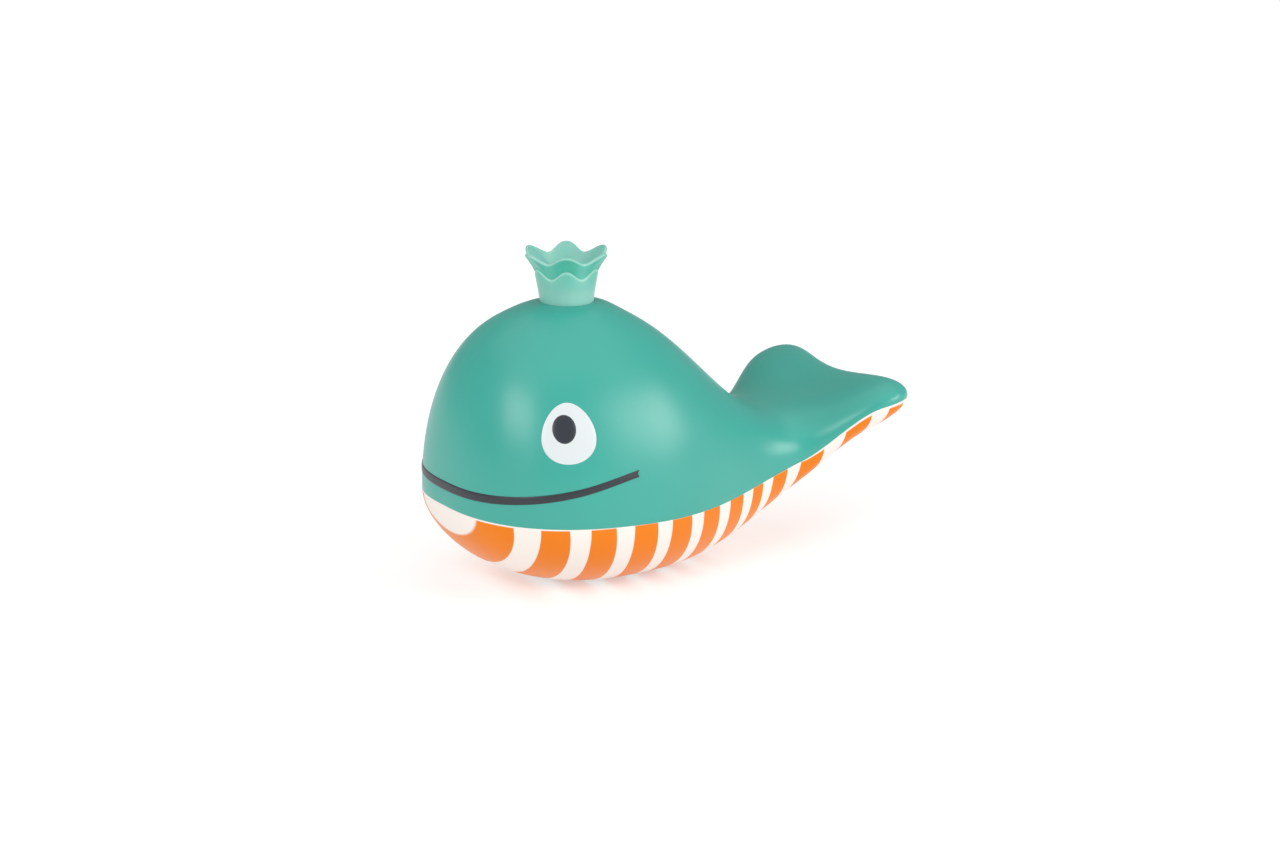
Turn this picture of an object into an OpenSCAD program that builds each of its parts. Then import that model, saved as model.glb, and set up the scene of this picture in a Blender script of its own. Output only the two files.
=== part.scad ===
// Squeeze whale for the bath: two bonded soft shells, a face let into the head, and a
// lift-off foam spout whose crown has two wavy tiers.
// Frame: millimetres, +Z up, head towards -X, origin under the middle of the body.

/* [Body] */
// Length from the nose to the tips of the flukes
body_len = 150; // [140:1:170]
// Height of the head under the blowhole mound
head_h = 84.9; // [78:0.1:92]
// Greatest width of the head
head_w = 81.4; // [76:0.2:90]
// From the nose to the highest point of the head
peak_x = 38; // [35:0.5:41]
// From the nose to the widest point of the head
wide_x = 49.4; // [45:0.2:53]
// Height of the tip of the nose
nose_z = 27.3; // [26:0.1:29]
// From the nose to the front end of the level keel
keel_front_x = 52; // [48:0.5:54]
// From the nose to the back end of the level keel
keel_back_x = 57; // [55:0.5:64]
// Depth cut off the keel to make the flat foot
foot_cut = 1.2; // [0.8:0.1:1.6]
// From the nose to the lowest point of the seam
seam_low_x = 70.6; // [65:0.2:78]
// Height of the seam at its lowest point
seam_low_z = 24.1; // [22.5:0.1:25.5]
// Thickness of both shells
wall = 3; // [2.6:0.1:3.4]

/* [Tail] */
// From the tail's end to the lowest point of the back
ridge_low_back = 38.5; // [34:0.5:43]
// Height of the back at its lowest point
ridge_low_z = 44.1; // [42:0.1:47]
// From the tail's end to the waist
waist_back = 40.2; // [37:0.2:46]
// Width of the waist
waist_w = 52; // [46:0.2:58]
// From the tail's end to the widest point of the flukes
fluke_back = 10.7; // [8:0.1:13]
// Greatest width of the flukes
fluke_w = 72.4; // [64:0.2:82]
// Share of the flukes' width that is left at the very end
fluke_end = 0.69; // [0.55:0.01:0.85]
// Depth of the notch between the flukes
notch = 3.9; // [2:0.1:6]
// How far the middle of the flukes is dished
dish = 4.6; // [3:0.1:7]
// How far the edges of the flukes are lifted
fluke_lift = 9.2; // [7:0.1:11]
// From the tail's end to where the lift begins
lift_start_back = 38.6; // [36:0.1:44]
// From the tail's end to where the lift is complete
lift_end_back = 14.3; // [11:0.1:18]
// Length of the rounding along the trailing edge
tail_round = 14.3; // [10:0.1:17]
// Height of the top line at the tail's end
tail_top_z = 56.6; // [54:0.1:60]
// Height of the seam at the tail's end before the lift
tail_seam_z = 39.1; // [37.5:0.1:41]
// Height of the keel line at the tail's end
tail_keel_z = 33.5; // [32:0.1:36]
// From the tail's end to the end of the hollow
hollow_back = 14; // [13:0.5:20]
// Length over which the hollow closes at the tail
hollow_round = 24; // [18:1:30]

/* [Curves] */
// Fullness of the forehead
top_round = 2.5; // [2.2:0.01:2.9]
// Fullness of the head seen from above
side_round = 2.63; // [2.2:0.01:2.9]
// Fullness of the chin
chin_round = 2.04; // [1.8:0.01:2.3]
// How late the back falls away behind the head
back_bend = 1.36; // [1:0.01:1.5]
// How late the sides draw in to the waist
waist_bend = 1; // [1:0.01:1.3]
// How late the back rises to the tail
tail_bend = 1.67; // [1.4:0.01:2.2]
// How late the seam rises to the tail
seam_bend = 1.18; // [1:0.01:1.5]
// How fast the seam drops behind the nose
seam_drop = 1.9; // [1.4:0.05:2.3]
// How late the keel rises to the tail
keel_bend = 1.29; // [1.1:0.01:1.5]
// Width of the dish, lower is wider
dish_round = 1.83; // [1.2:0.01:2.4]
// Extra fullness of the back's edges towards the tail
edge_full = 0.56; // [0.3:0.01:0.8]
// Extra fullness of the belly's edges towards the tail
belly_full = 0.16; // [0:0.01:0.5]

/* [Seam joint] */
// Height of the lip that locates the shells on each other
lip_h = 1.2; // [0.8:0.1:1.6]

/* [Neck] */
// From the nose to the axis of the blowhole
blowhole_x = 42.9; // [41:0.1:46]
// Height of the level mound around the blowhole above the head
mound_h = 0.4; // [0.2:0.1:1.2]
// Radius of the mound
mound_r = 15; // [13:0.5:18]
// Diameter of the moulded collar inside the head
collar_d = 23; // [21:0.2:26]
// Length of the collar below the bush's seat
collar_len = 10; // [8:0.5:13]
// Depth of the bush's seat below the top of the mound
seat_depth = 1.9; // [1.6:0.1:2.4]
// Bore of the neck bush
bush_bore = 13.6; // [13:0.1:14.2]
// Wall of the neck bush
bush_wall = 1; // [0.8:0.05:1.2]
// Width by which the bush's flange and snap bead stand out
bush_step = 0.5; // [0.4:0.05:0.6]
// Thickness of the bush's flange
flange_t = 1; // [0.8:0.1:1.3]
// Height of the bush's snap bead
bead_h = 1.8; // [1.4:0.1:2.4]

/* [Crown] */
// Number of crests on each tier
crests = 6; // [4:1:8]
// Height of the upper rim's crests above and below its middle
crest_h = 1.3; // [0.6:0.05:1.6]
// Outward lean of the upper rim's crests, as a share of their height
crest_lean = 0.95; // [0.4:0.05:1.2]
// Height of the lower rim's crests above and below its middle
cup_crest_h = 1.45; // [0.8:0.05:1.6]
// Outward lean of the lower rim's crests, as a share of their height
cup_lean = 0.3; // [0:0.05:0.8]
// Diameter of the crown's foot
foot_d = 16.4; // [16.2:0.1:17]
// Diameter of the lower tier's rim
cup_d = 19.7; // [19:0.1:20.4]
// Height of the lower tier's rim above the crown's foot
cup_h = 10.2; // [9.6:0.1:11.6]
// Wall of both tiers
tier_wall = 1.1; // [0.9:0.05:1.3]
// Thickness of the lower tier's floor
cup_floor = 2.4; // [2:0.1:3]
// Diameter of the upper tier's rim
flare_d = 25; // [24:0.2:28]
// Height of the upper tier's rim above the crown's foot
flare_h = 15.1; // [14.4:0.1:17]

/* [Spout plug] */
// Length of the plug below the crown's foot
plug_len = 11; // [10:0.5:13]
// Wall of the plug
plug_wall = 1.7; // [1.5:0.05:1.9]
// Thickness of the seal ring's cord
seal_t = 1.1; // [0.9:0.05:1.2]
// From the crown's foot down to the seal ring
seal_drop = 3.2; // [2.6:0.1:4]
// Wall of the upper tier's stem
stem_wall = 1.1; // [0.9:0.05:1.3]
// Length of the upper tier's stem
stem_len = 8.4; // [7.4:0.1:9]
// Thickness of the foam mesh
mesh_t = 0.8; // [0.6:0.05:1.2]
// Diameter of a hole in the mesh
mesh_hole = 0.7; // [0.5:0.05:0.8]
// Rings of holes in the mesh
mesh_rings = 3; // [1:1:3]
// Wall of the foam head
head_wall = 0.85; // [0.7:0.05:1]
// Thickness of the foam head's floor
head_floor = 1.6; // [1.2:0.1:2.2]
// Thickness of the foam head's flange
head_flange_t = 1.2; // [0.9:0.1:1.6]
// Diameter of an air hole in the foam head
air_hole = 0.9; // [0.6:0.05:1]
// Number of air holes
air_holes = 6; // [3:1:8]
// Outer diameter of the dip tube
tube_d = 5.2; // [4.8:0.1:5.4]
// Bore of the dip tube
tube_bore = 3.8; // [3.4:0.1:4]
// Bore of the foam head's nipple
nipple_bore = 2.2; // [1.6:0.1:2.6]
// Length of the nipple inside the tube
nipple_len = 7; // [5:0.5:9]
// Height of the tube's lower end above the foot
tube_end_z = 8; // [6:0.5:14]

/* [Face] */
// From the nose to the middle of the eye
eye_x = 24.3; // [21:0.1:27]
// Height of the middle of the eye
eye_z = 53.7; // [51:0.1:57]
// Width of the eye
eye_w = 16.1; // [13:0.1:17]
// Height of the eye
eye_h = 18.2; // [15:0.1:20]
// How much narrower the eye is at its top
eye_taper = 0.18; // [0:0.01:0.2]
// Lean of the eye towards the tail
eye_lean = -1; // [-15:1:15]
// Depth of the eye's socket at its middle
eye_depth = 2; // [1.8:0.05:2.1]
// Width of the pupil
pupil_w = 7.2; // [5:0.1:8]
// Height of the pupil
pupil_h = 8.7; // [6:0.1:10]
// Shift of the pupil towards the nose
pupil_fore = 1.3; // [0:0.1:2]
// Shift of the pupil upwards
pupil_up = 1.3; // [0:0.1:2.6]
// Depth of the pupil's socket at its middle
pupil_depth = 0.9; // [0.7:0.05:1.1]
// How far eyes, pupils and mouth stand proud
proud = 0.25; // [0.1:0.05:0.4]
// Height of the mouth at the front
mouth_z = 33.7; // [32:0.1:36]
// How far the mouth's corners are raised
mouth_rise = 7.4; // [5:0.1:9]
// Angle from the nose to a corner of the mouth
mouth_angle = 83; // [60:1:92]
// How late the mouth turns up
mouth_bend = 2.7; // [1.8:0.1:3.2]
// Width of the mouth line at the front
mouth_w = 2.8; // [2:0.1:3.2]
// Width of the mouth line at its corners
mouth_end_w = 2; // [1.4:0.1:2.8]
// Depth of the mouth's groove
mouth_depth = 1; // [0.8:0.1:1.4]

/* [Fits] */
// Gap around the crown's foot in its seat
seat_gap = 0.3; // [0.2:0.05:0.5]
// Gap between the plug and the neck bush on each side
plug_gap = 0.08; // [0.05:0.01:0.1]
// Gap between the seal ring and the neck bush
seal_gap = 0.04; // [0.02:0.01:0.05]
// Gap around parts pushed into each other
push_gap = 0.04; // [0.02:0.01:0.06]
// Gap between the two tiers of the crown
tier_gap = 0.4; // [0.3:0.05:0.5]

/* [Hidden] */

// Smoothness of the round parts and of the lofted shells
$fn = 64;
arc_steps = 24;
nose_steps = 3;
hollow_steps = 36;
tail_steps = 7;
crest_steps = 12;
eye_steps = 36;
mouth_steps = 36;

// Places along the tail, measured from the nose
ridge_low_x = body_len - ridge_low_back;
waist_x = body_len - waist_back;
fluke_x = body_len - fluke_back;
lift_start_x = body_len - lift_start_back;
lift_end_x = body_len - lift_end_back;
hollow_end_x = body_len - hollow_back;

// Steps of the shells' section: seam, ledge, lip, then the hollow
ledge_steps = 3;
section_steps = 2 * arc_steps;
hollow_arc = arc_steps - 2 * ledge_steps;

// Heights of the neck and the spout
mound_z = head_h + mound_h;
seat_z = mound_z - seat_depth;
crown_z = seat_z + flange_t;
collar_z = seat_z - collar_len;
plug_end_z = crown_z - plug_len;
flare_z = crown_z + cup_floor;
mesh_z = flare_z - stem_len - mesh_t;
tube_top_z = plug_end_z - head_flange_t;

// Radii of the neck and the spout
seat_r = foot_d / 2 + seat_gap;
bush_r = bush_bore / 2 + bush_wall;
plug_r = bush_bore / 2 - plug_gap;
plug_bore_r = plug_r - plug_wall;
insert_r = plug_bore_r - push_gap;
stem_bore_r = insert_r - stem_wall;
seal_r = bush_bore / 2 - seal_gap - seal_t / 2;
chamber_r = insert_r - head_wall;
nipple_r = tube_bore / 2 - push_gap;

// Middle of the lower tier's wall, which the upper tier follows inside it
cup_mid_h = (cup_floor + cup_h) / 2;
cup_mid_r = (foot_d + (cup_d - foot_d) * pow(cup_mid_h / cup_h, 1.5)) / 2;
nest = tier_wall + tier_gap;

// Small lengths: overlap of fused solids and overshoot of cuts
fuse = 0.6;
over = 1;

teal = "#4fb2a3";
mint = "#6cbaaa";
cream = "#f3f1ea";
slate = "#41444d";
white = "#eceef0";
clear = "#d6e2e4";

function clamp01(t) = max(0, min(1, t));
function ease(t, m = 1) = (1 - cos(180 * pow(clamp01(t), m))) / 2;
function quarter(t, p) = pow(1 - pow(clamp01(t), p), 1 / p);
function unit(v) = v / norm(v);

// The back's height behind the peak, and how much its slope stretches a vertical inset
function ridge_z(x) = x < ridge_low_x
    ? head_h + (ridge_low_z - head_h) * ease((x - peak_x) / (ridge_low_x - peak_x), back_bend)
    : ridge_low_z + (tail_top_z - ridge_low_z) * pow((x - ridge_low_x) / ridge_low_back, tail_bend);
function ridge_stretch(x) = norm([1, ridge_z(x + over / 2) - ridge_z(x - over / 2)]);

// Outlines of the body, inset by d: top line, keel line and half width at x
function top_z(x, d) = x < peak_x
    ? nose_z + (head_h - d - nose_z) * quarter((peak_x - x) / (peak_x - d), top_round)
    : ridge_z(x) - (d > 0 ? d * ridge_stretch(x) : 0);
function keel_low(d) = d > 0 ? d : -foot_cut;
function keel_z(x, d) = x < keel_front_x
    ? nose_z - (nose_z - keel_low(d)) * quarter((keel_front_x - x) / (keel_front_x - d), chin_round)
    : keel_low(d) + (tail_keel_z + d - keel_low(d))
        * ease((x - keel_back_x) / (body_len - keel_back_x), keel_bend);
function half_w(x, d) = x < wide_x
    ? (head_w / 2 - d) * quarter((wide_x - x) / (wide_x - d), side_round)
    : x < waist_x
    ? head_w / 2 - d + (waist_w - head_w) / 2 * ease((x - wide_x) / (waist_x - wide_x), waist_bend)
    : x < fluke_x
    ? waist_w / 2 - d + (fluke_w - waist_w) / 2 * ease((x - waist_x) / (fluke_x - waist_x))
    : fluke_w / 2 * (fluke_end + (1 - fluke_end) * quarter((x - fluke_x) / fluke_back, 2));

// The seam, the dish of the flukes and the roundings that close the tail and the hollow
function lift_share(x) = ease((x - lift_start_x) / (lift_end_x - lift_start_x));
function seam_z(x) = fluke_lift * lift_share(x) + (x < seam_low_x
    ? seam_low_z + (nose_z - seam_low_z) * pow((seam_low_x - x) / seam_low_x, seam_drop)
    : seam_low_z + (tail_seam_z - seam_low_z)
        * ease((x - seam_low_x) / (body_len - seam_low_x), seam_bend));
function dish_z(x, eta) = dish * lift_share(x) * pow(1 - eta * eta, dish_round);
function tail_close(x) = quarter((x - body_len + tail_round) / tail_round, 2);
function hollow_close(x) = quarter((x - hollow_end_x + hollow_round) / hollow_round, 2);

// Swell of a cross section: 0 at the seam, 1 in the middle
function arch(x, eta, side) = quarter(abs(eta),
    2 + (side > 0 ? edge_full : belly_full) * ease((x - wide_x) / (waist_x - wide_x)));
function notch_x(x, eta) = notch * pow(clamp01((x - waist_x) / waist_back), 2) * pow(1 - eta * eta, 1.5);
function mound_share(x, y) = pow(clamp01(1 - pow(norm([x - blowhole_x, y]) / mound_r, 4)), 2);

// Points on the parting surface, the outer skin and the hollow. side is 1 above the seam, -1 below
function parting(x, eta) = [x - notch_x(x, eta), half_w(x, 0) * eta, seam_z(x) - dish_z(x, eta)];
function swell(x, d, lip, side) = max(0, side > 0
    ? top_z(x, d) - seam_z(x) - lip + dish_z(x, 0)
    : seam_z(x) + lip - dish_z(x, 0) - keel_z(x, d));
function bare_skin(x, eta, side) = parting(x, eta)
    + [0, 0, side * swell(x, 0, 0, side) * tail_close(x) * arch(x, eta, side)];
function skin(x, eta, side) = let (p = bare_skin(x, eta, side))
    side < 0 ? p : p + [0, 0, (mound_z - p[2]) * mound_share(p[0], p[1])];
function hollow_w(x) = half_w(x, wall) * hollow_close(x);
function hollow(x, eta, side) = let (e = eta * hollow_w(x) / half_w(x, 0)) parting(x, e)
    + [0, 0, lip_h + side * swell(x, wall, lip_h, side) * hollow_close(x) * arch(x, eta, side)];

// Stations along the body: solid nose, hollow, solid tail
stations = concat(
    [for (i = [0 : nose_steps]) wall * pow(i / (nose_steps + 1), 2)],
    [for (i = [0 : hollow_steps]) wall + (hollow_end_x - wall) * ease(i / hollow_steps)],
    [for (i = [1 : tail_steps]) hollow_end_x + hollow_back * sin(90 * i / tail_steps)]);
first_hollow = nose_steps + 1;
last_hollow = first_hollow + hollow_steps;
last_station = len(stations) - 1;

function across(k) = -cos(180 * k / arc_steps);
function is_hollow(i) = i >= first_hollow && i <= last_hollow;
function is_pole(i) = i == first_hollow || i == last_hollow;

// Inner side of a section, from k = 0 at one seam to arc_steps at the other
function ledge(x, sign, lip) = let (eta = sign * (half_w(x, 0) + hollow_w(x)) / 2 / half_w(x, 0))
    parting(x, eta) + [0, 0, lip];
function inner_point(i, k, side) = let (x = stations[i], m = min(k, arc_steps - k), sign = k == m ? -1 : 1)
    m == 0 || !is_hollow(i) ? parting(x, across(k))
    : m < ledge_steps ? ledge(x, sign, m == 1 ? 0 : lip_h)
    : is_pole(i) ? parting(x, 0) + [0, 0, lip_h]
    : hollow(x, -cos(180 * (k - ledge_steps) / hollow_arc), side);

// A section is one closed ring: the skin from seam to seam, then the inner side back again
function shell_points(side) = [
    for (i = [0 : last_station])
        for (j = [0 : section_steps - 1])
            j <= arc_steps ? skin(stations[i], across(j), side) : inner_point(i, section_steps - j, side)];
function place(i, j) = let (k = section_steps - j % section_steps)
    i == 0 ? 0
    : i == last_station && j % section_steps > arc_steps ? i * section_steps + k
    : is_pole(i) && k >= ledge_steps && k <= arc_steps - ledge_steps ? (i + 1) * section_steps - ledge_steps
    : i * section_steps + j % section_steps;
function shell_faces(side) = [
    for (i = [0 : last_station - 1])
        for (j = [0 : section_steps - 1])
            let (a = place(i, j), b = place(i, j + 1), c = place(i + 1, j + 1), d = place(i + 1, j))
                for (t = [[a, b, c], [a, c, d]])
                    if (t[0] != t[1] && t[1] != t[2] && t[2] != t[0])
                        side > 0 ? t : [t[2], t[1], t[0]]];

module shell(side) {
    polyhedron(shell_points(side), shell_faces(side));
}

// The upper head as a field that is 1 on its skin, for pieces that follow the skin
probe = 0.01;
function field(p) = let (x = max(probe, p[0]))
    pow((p[2] - seam_z(x)) / (top_z(x, 0) - seam_z(x)), 2) + pow(p[1] / half_w(x, 0), 2);
function normal_at(p) = unit([
    for (e = [[probe, 0, 0], [0, probe, 0], [0, 0, probe]]) field(p + e) - field(p - e)]);

// Distance from o along d to the skin, found by halving
function reach(o, d, low, high, steps) = let (m = (low + high) / 2)
    steps == 0 ? m
    : field(o + m * d) < 1 ? reach(o, d, m, high, steps - 1)
    : reach(o, d, low, m, steps - 1);

// The left eye's frame: middle on the skin, outward, upward and towards the tail
eye_c = [eye_x, -half_w(eye_x, 0)
    * sqrt(1 - pow((eye_z - seam_z(eye_x)) / (top_z(eye_x, 0) - seam_z(eye_x)), 2)), eye_z];
eye_out = normal_at(eye_c);
eye_level = unit(cross([0, 0, 1], eye_out));
eye_plumb = cross(eye_out, eye_level);
eye_up = eye_plumb * cos(eye_lean) + eye_level * sin(eye_lean);
eye_aft = eye_level * cos(eye_lean) - eye_plumb * sin(eye_lean);

// Outlines in the eye's plane, grown by g: an egg and an ellipse
function egg(a, g) = [(eye_w / 2 + g) * cos(a) * (1 - eye_taper * sin(a)), (eye_h / 2 + g) * sin(a)];
function oval(a, g) = [(pupil_w / 2 + g) * cos(a) - pupil_fore, (pupil_h / 2 + g) * sin(a) + pupil_up];
function eye_outline(g) = [for (i = [0 : eye_steps - 1]) egg(360 * i / eye_steps, g)];
function pupil_outline(g) = [for (i = [0 : eye_steps - 1]) oval(360 * i / eye_steps, g)];
function in_eye(q, depth) = eye_c + q[0] * eye_aft + q[1] * eye_up + depth * eye_out;
function skin_depth(q) = reach(in_eye(q, 0), eye_out, -eye_h / 4, eye_h / 4, 20);

// A plug with a flat back at the given depth and a face that follows the skin
button_rings = [0.45, 0.8, 1];
module button(outline, centre, depth, lift) {
    n = len(outline);
    rows = len(button_rings);
    face = [for (r = button_rings) for (q = outline) let (f = centre + r * (q - centre))
        in_eye(f, skin_depth(f) + lift * (1 - pow(r, 4) / 2))];
    back = [for (q = outline) in_eye(q, -depth)];
    points = concat(face, back, [in_eye(centre, skin_depth(centre) + lift), in_eye(centre, -depth)]);
    apex = (rows + 1) * n;
    sides = [for (r = [0 : rows - 1]) for (i = [0 : n - 1]) let (a = r * n + i, b = r * n + (i + 1) % n)
        each [[a, a + n, b + n], [a, b + n, b]]];
    caps = [for (i = [0 : n - 1]) let (b = (i + 1) % n)
        each [[apex, i, b], [apex + 1, rows * n + b, rows * n + i]]];
    polyhedron(points, [for (f = concat(sides, caps)) [f[2], f[1], f[0]]]);
}

// The socket for such a plug: its outline cut outwards from the flat back
module socket(outline, depth) {
    m = [for (k = [0 : 2]) [eye_aft[k], eye_up[k], eye_out[k], eye_c[k] - depth * eye_out[k]]];
    multmatrix(m) linear_extrude(depth + 2 * over) polygon(outline);
}

// The mouth's line: a ray from an upright axis in the head meets the skin at each angle
mouth_axis_x = wide_x;
function mouth_point(a) = let (
    o = [mouth_axis_x, 0, mouth_z + mouth_rise * pow(abs(a) / mouth_angle, mouth_bend)],
    d = [-cos(a), -sin(a), 0]) o + d * reach(o, d, 0, head_w, 24);
module mouth_band(grow, low, high) {
    path = [for (i = [0 : mouth_steps]) mouth_point(mouth_angle * (2 * i / mouth_steps - 1))];
    sections = [for (i = [0 : mouth_steps]) let (
        along = unit(path[min(i + 1, mouth_steps)] - path[max(i - 1, 0)]),
        width = mouth_w + (mouth_end_w - mouth_w) * abs(2 * i / mouth_steps - 1) + grow,
        out = unit(cross(along, [0, 0, 1])), wide = cross(along, out) * width / 2)
        each [path[i] - wide + low * out, path[i] + wide + low * out,
            path[i] + wide + high * out, path[i] - wide + high * out]];
    walls = [for (i = [0 : mouth_steps - 1]) for (k = [0 : 3]) let (a = 4 * i + k, b = 4 * i + (k + 1) % 4)
        each [[a, b, b + 4], [a, b + 4, a + 4]]];
    last = 4 * mouth_steps;
    ends = [[0, 2, 1], [0, 3, 2], [last, last + 1, last + 2], [last, last + 2, last + 3]];
    polyhedron(sections, concat(walls, ends));
}

// Puts what is modelled from the nose, or around the spout's axis, into the part's frame
module from_nose() {
    translate([-body_len / 2, 0, 0]) children();
}
module on_axis(z) {
    translate([blowhole_x - body_len / 2, 0, z]) children();
}
module mirrored(flip) {
    mirror([0, flip ? 1 : 0, 0]) children();
}

// Points of a tier's profile, [radius, height, rise and lean of a crest]: level, on the lower rim's wave
// or on the upper rim's
function level(r, h) = [r, h, 0, 0];
function lower(r, h) = [r, h, cup_crest_h, cup_crest_h * cup_lean];
function upper(r, h) = [r, h, crest_h, crest_h * crest_lean];

// A tier turned from such a profile
module wavy_turn(profile) {
    n = crests * crest_steps;
    rows = len(profile);
    points = [for (i = [0 : n - 1]) for (p = profile)
        let (a = 360 * i / n, wave = cos(crests * a), r = p[0] + p[3] * wave)
        [r * cos(a), r * sin(a), p[1] + p[2] * wave]];
    polyhedron(points, [for (i = [0 : n - 1]) for (k = [0 : rows - 1])
        let (a = i * rows + k, b = i * rows + (k + 1) % rows, s = (i + 1) % n * rows - i * rows)
        each [[a, b, b + s], [a, b + s, a + s]]]);
}

module back_shell() {
    color(teal) difference() {
        union() {
            from_nose() shell(1);
            on_axis(collar_z) cylinder(d = collar_d, h = collar_len - wall / 2);
        }
        on_axis(collar_z - over) cylinder(r = bush_r, h = mound_z - collar_z + 2 * over);
        on_axis(seat_z) cylinder(r = seat_r, h = seat_depth + over);
        from_nose() for (flip = [false, true])
            mirrored(flip) socket(eye_outline(push_gap), eye_depth);
        from_nose() mouth_band(2 * push_gap, -mouth_depth, over);
    }
}

module belly_shell() {
    color(cream) difference() {
        from_nose() shell(-1);
        translate([0, 0, -body_len / 2]) cube([2 * body_len, 2 * head_w, body_len], center = true);
    }
}

module eye_white(flip) {
    color(white) from_nose() mirrored(flip) difference() {
        button(eye_outline(0), [0, 0], eye_depth, proud);
        socket(pupil_outline(push_gap), pupil_depth);
    }
}

module eye_white_left() {
    eye_white(false);
}

module eye_white_right() {
    eye_white(true);
}

module pupil(flip) {
    color(slate) from_nose() mirrored(flip)
        button(pupil_outline(0), [-pupil_fore, pupil_up], pupil_depth, 2 * proud);
}

module pupil_left() {
    pupil(false);
}

module pupil_right() {
    pupil(true);
}

module smile_line() {
    color(slate) from_nose() mouth_band(0, -mouth_depth, proud);
}

// Snap-in sleeve: flange in the seat, bead under the collar
module neck_bush() {
    inner = bush_bore / 2;
    color(teal) on_axis(0) rotate_extrude() polygon([
        [inner, collar_z - bead_h], [bush_r, collar_z - bead_h], [bush_r + bush_step, collar_z - bead_h / 2],
        [bush_r + bush_step, collar_z], [bush_r, collar_z], [bush_r, seat_z],
        [bush_r + bush_step, seat_z], [bush_r + bush_step, crown_z], [inner, crown_z]]);
}

module crown_cup() {
    foot_r = foot_d / 2;
    rim_r = cup_d / 2;
    color(mint) on_axis(crown_z) difference() {
        union() {
            wavy_turn([
                level(plug_bore_r + fuse, 0), level(foot_r, 0), level(cup_mid_r, cup_mid_h),
                lower(rim_r, cup_h - tier_wall / 2), lower(rim_r - tier_wall / 2, cup_h),
                lower(rim_r - tier_wall, cup_h - tier_wall / 2), level(cup_mid_r - tier_wall, cup_mid_h),
                level(foot_r - tier_wall, cup_floor), level(plug_bore_r + fuse, cup_floor)]);
            translate([0, 0, -plug_len]) cylinder(r = plug_r, h = plug_len + fuse);
            cylinder(r = plug_bore_r + 2 * fuse, h = cup_floor);
        }
        translate([0, 0, -plug_len - over]) cylinder(r = plug_bore_r, h = plug_len + cup_floor + 2 * over);
        translate([0, 0, -seal_drop - seal_t]) difference() {
            cylinder(r = plug_r + over, h = seal_t);
            cylinder(r = seal_r - seal_t / 2, h = seal_t);
        }
    }
}

module crown_flare() {
    rim_r = flare_d / 2;
    low_r = foot_d / 2 - nest;
    mid_r = cup_mid_r - nest;
    turn_r = cup_d / 2 - nest;
    over_r = cup_d / 2 - tier_wall / 2;
    mid = cup_mid_h - cup_floor;
    turn = cup_h - cup_floor;
    over_lip = turn + tier_gap;
    rim = flare_h - cup_floor;
    bowl = tier_wall;
    color(mint) on_axis(flare_z) difference() {
        union() {
            wavy_turn([
                level(stem_bore_r + fuse, 0), level(low_r, 0), level(mid_r, mid), lower(turn_r, turn),
                lower(over_r, over_lip), upper(rim_r, rim - tier_wall / 2),
                upper(rim_r - tier_wall / 2, rim), upper(rim_r - tier_wall, rim - tier_wall / 3),
                lower(over_r - tier_wall, over_lip + tier_wall / 3),
                lower(turn_r - tier_wall, turn), level(mid_r - tier_wall, mid),
                level(low_r - tier_wall, bowl), level(stem_bore_r + fuse, bowl)]);
            translate([0, 0, -stem_len]) cylinder(r = insert_r, h = stem_len + fuse);
            cylinder(r = stem_bore_r + 2 * fuse, h = bowl);
        }
        translate([0, 0, -stem_len - over]) cylinder(r = stem_bore_r, h = stem_len + bowl + 2 * over);
    }
}

module seal_ring() {
    color(slate) on_axis(crown_z - seal_drop - seal_t / 2)
        rotate_extrude() translate([seal_r, 0]) circle(d = seal_t, $fn = 32);
}

module foam_mesh() {
    pitch = stem_bore_r / (mesh_rings + 0.5);
    color(clear) on_axis(mesh_z) difference() {
        cylinder(r = insert_r, h = mesh_t);
        for (ring = [0 : mesh_rings])
            for (i = [0 : max(1, 6 * ring) - 1])
                rotate(60 * i / max(1, ring)) translate([ring * pitch, 0, -over])
                    cylinder(d = mesh_hole, h = mesh_t + 2 * over, $fn = 16);
    }
}

// Push-in foam head: mixing chamber above, nipple for the dip tube below
module foam_head() {
    air_r = (tube_d / 2 + chamber_r) / 2;
    chamber_z = plug_end_z + head_floor - head_flange_t;
    color(clear) on_axis(0) difference() {
        rotate_extrude() polygon([
            [nipple_bore / 2, tube_top_z - nipple_len], [nipple_r, tube_top_z - nipple_len],
            [nipple_r, tube_top_z], [plug_r, tube_top_z], [plug_r, plug_end_z], [insert_r, plug_end_z],
            [insert_r, mesh_z], [chamber_r, mesh_z], [chamber_r, chamber_z], [nipple_bore / 2, chamber_z]]);
        for (i = [0 : air_holes - 1])
            rotate(360 * i / air_holes)
                translate([air_r, 0, tube_top_z - over])
                    cylinder(d = air_hole, h = head_floor + 2 * over, $fn = 24);
    }
}

// Straight tube with a slanted lower end
module dip_tube() {
    color(clear) on_axis(tube_end_z) difference() {
        cylinder(d = tube_d, h = tube_top_z - tube_end_z);
        translate([0, 0, -over]) cylinder(d = tube_bore, h = tube_top_z - tube_end_z + 2 * over);
        rotate([0, 35, 0]) translate([-tube_d, -tube_d, -2 * tube_d])
            cube([3 * tube_d, 2 * tube_d, 2 * tube_d]);
    }
}

back_shell();
belly_shell();
eye_white_left();
eye_white_right();
pupil_left();
pupil_right();
smile_line();
neck_bush();
crown_cup();
crown_flare();
seal_ring();
foam_mesh();
foam_head();
dip_tube();
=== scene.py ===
"""Squeeze whale for the bath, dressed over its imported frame: smooth shells, inlaid face, foam spout."""

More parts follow.
